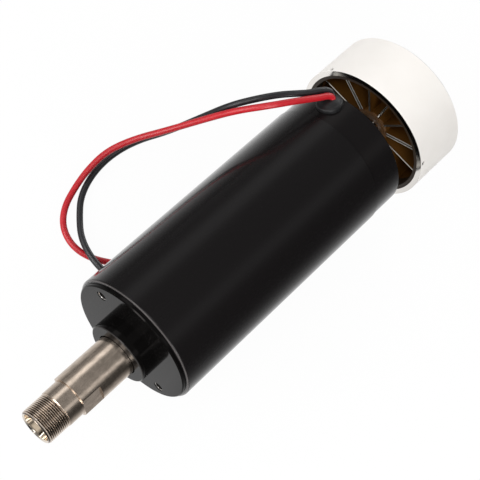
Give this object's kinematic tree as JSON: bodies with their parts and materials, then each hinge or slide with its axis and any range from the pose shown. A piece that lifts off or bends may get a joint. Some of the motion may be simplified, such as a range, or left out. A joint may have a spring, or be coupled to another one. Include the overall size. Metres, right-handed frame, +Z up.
{
  "type": "motor spindle",
  "caption": "Air-cooled brushed motor spindle: black tubular can, threaded collet nose on a steel arbor, ringed cooling fan behind, and red and black leads.",
  "frame": {"origin": "on the spindle axis, half-way along the can that a clamp bracket grips", "axes": "-Y along the spindle axis towards the collet nose, +Z up as the spindle lies with its lead grommet 38 degrees to the left of the top, seen with the nose towards the viewer's front"},
  "size_m": [0.0893, 0.1946, 0.0572],
  "materials": {
    "black_lacquer": "glossy black lacquered steel tube",
    "black_anodised": "polished black anodised aluminium",
    "zinc_steel": "bright zinc plated steel",
    "magnet": "dark sintered ferrite",
    "bearing_steel": "ground bearing steel",
    "cage_brass": "machined brass",
    "spring_steel": "spring steel",
    "arbor_steel": "turned and ground steel",
    "laminations": "stacked silicon steel laminations",
    "copper_winding": "enamelled copper wire set in varnish",
    "insulator": "brown phenolic laminate",
    "commutator_copper": "turned copper bars",
    "holder_brass": "folded brass",
    "carbon": "electrographite",
    "amber_anodised": "amber anodised aluminium with bright turned edges",
    "bright_aluminium": "satin polished aluminium",
    "black_steel": "black oxide steel",
    "black_rubber": "moulded black rubber",
    "red_insulation": "red flexible insulation",
    "black_insulation": "black flexible insulation",
    "tinned_copper": "tinned copper strands"
  },
  "bodies": {
    "housing": {"motor_can": "black_lacquer", "front_end_bell": "black_anodised", "rear_end_bell": "black_anodised", "tie_bolts": "zinc_steel", "field_magnets": "magnet", "front_bearing_outer_ring": "bearing_steel", "rear_bearing_outer_ring": "bearing_steel", "preload_washer": "spring_steel", "retaining_ring": "spring_steel", "brush_plate": "insulator", "brush_holder_upper": "holder_brass", "brush_holder_lower": "holder_brass", "brush_spring_upper": "spring_steel", "brush_spring_lower": "spring_steel", "lead_grommet": "black_rubber", "red_lead": "red_insulation", "black_lead": "black_insulation", "red_bare_end": "tinned_copper", "black_bare_end": "tinned_copper"},
    "rotor": {"chuck_arbor": "arbor_steel", "armature_shaft": "arbor_steel", "lamination_stack": "laminations", "armature_windings": "copper_winding", "commutator": "commutator_copper", "commutator_insulator": "insulator", "front_bearing_inner_ring": "bearing_steel", "rear_bearing_inner_ring": "bearing_steel", "fan_impeller": "amber_anodised", "fan_ring": "bright_aluminium", "ring_screws": "black_steel", "fan_spacer": "bearing_steel", "fan_washer": "zinc_steel", "fan_nut": "zinc_steel"},
    "front_ball_set": {"front_bearing_balls": "bearing_steel", "front_bearing_cage": "cage_brass"},
    "rear_ball_set": {"rear_bearing_balls": "bearing_steel", "rear_bearing_cage": "cage_brass"},
    "upper_brush": {"brush_upper": "carbon"},
    "lower_brush": {"brush_lower": "carbon"}
  },
  "joints": [
    {"name": "rotor_spin", "type": "hinge", "parent": "housing", "child": "rotor", "pos_m": [0, 0, 0], "axis": [0, -1, 0], "continuous": true},
    {"name": "front_cage_orbit", "type": "hinge", "parent": "housing", "child": "front_ball_set", "pos_m": [0, -0.0459, 0], "axis": [0, -1, 0], "continuous": true},
    {"name": "rear_cage_orbit", "type": "hinge", "parent": "housing", "child": "rear_ball_set", "pos_m": [0, 0.0645, 0], "axis": [0, -1, 0], "continuous": true},
    {"name": "upper_brush_slide", "type": "slide", "parent": "housing", "child": "upper_brush", "axis": [0, 0, 1], "range_m": [0, 0.001], "stiffness_N_per_m": 60, "springref_m": -0.012, "deforming": ["brush_spring_upper"]},
    {"name": "lower_brush_slide", "type": "slide", "parent": "housing", "child": "lower_brush", "axis": [0, 0, -1], "range_m": [0, 0.001], "stiffness_N_per_m": 60, "springref_m": -0.012, "deforming": ["brush_spring_lower"]}
  ],
  "couplings": [
    {"joint": "front_cage_orbit", "follows": "rotor_spin", "ratio": 0.3678},
    {"joint": "rear_cage_orbit", "follows": "rotor_spin", "ratio": 0.3677}
  ]
}
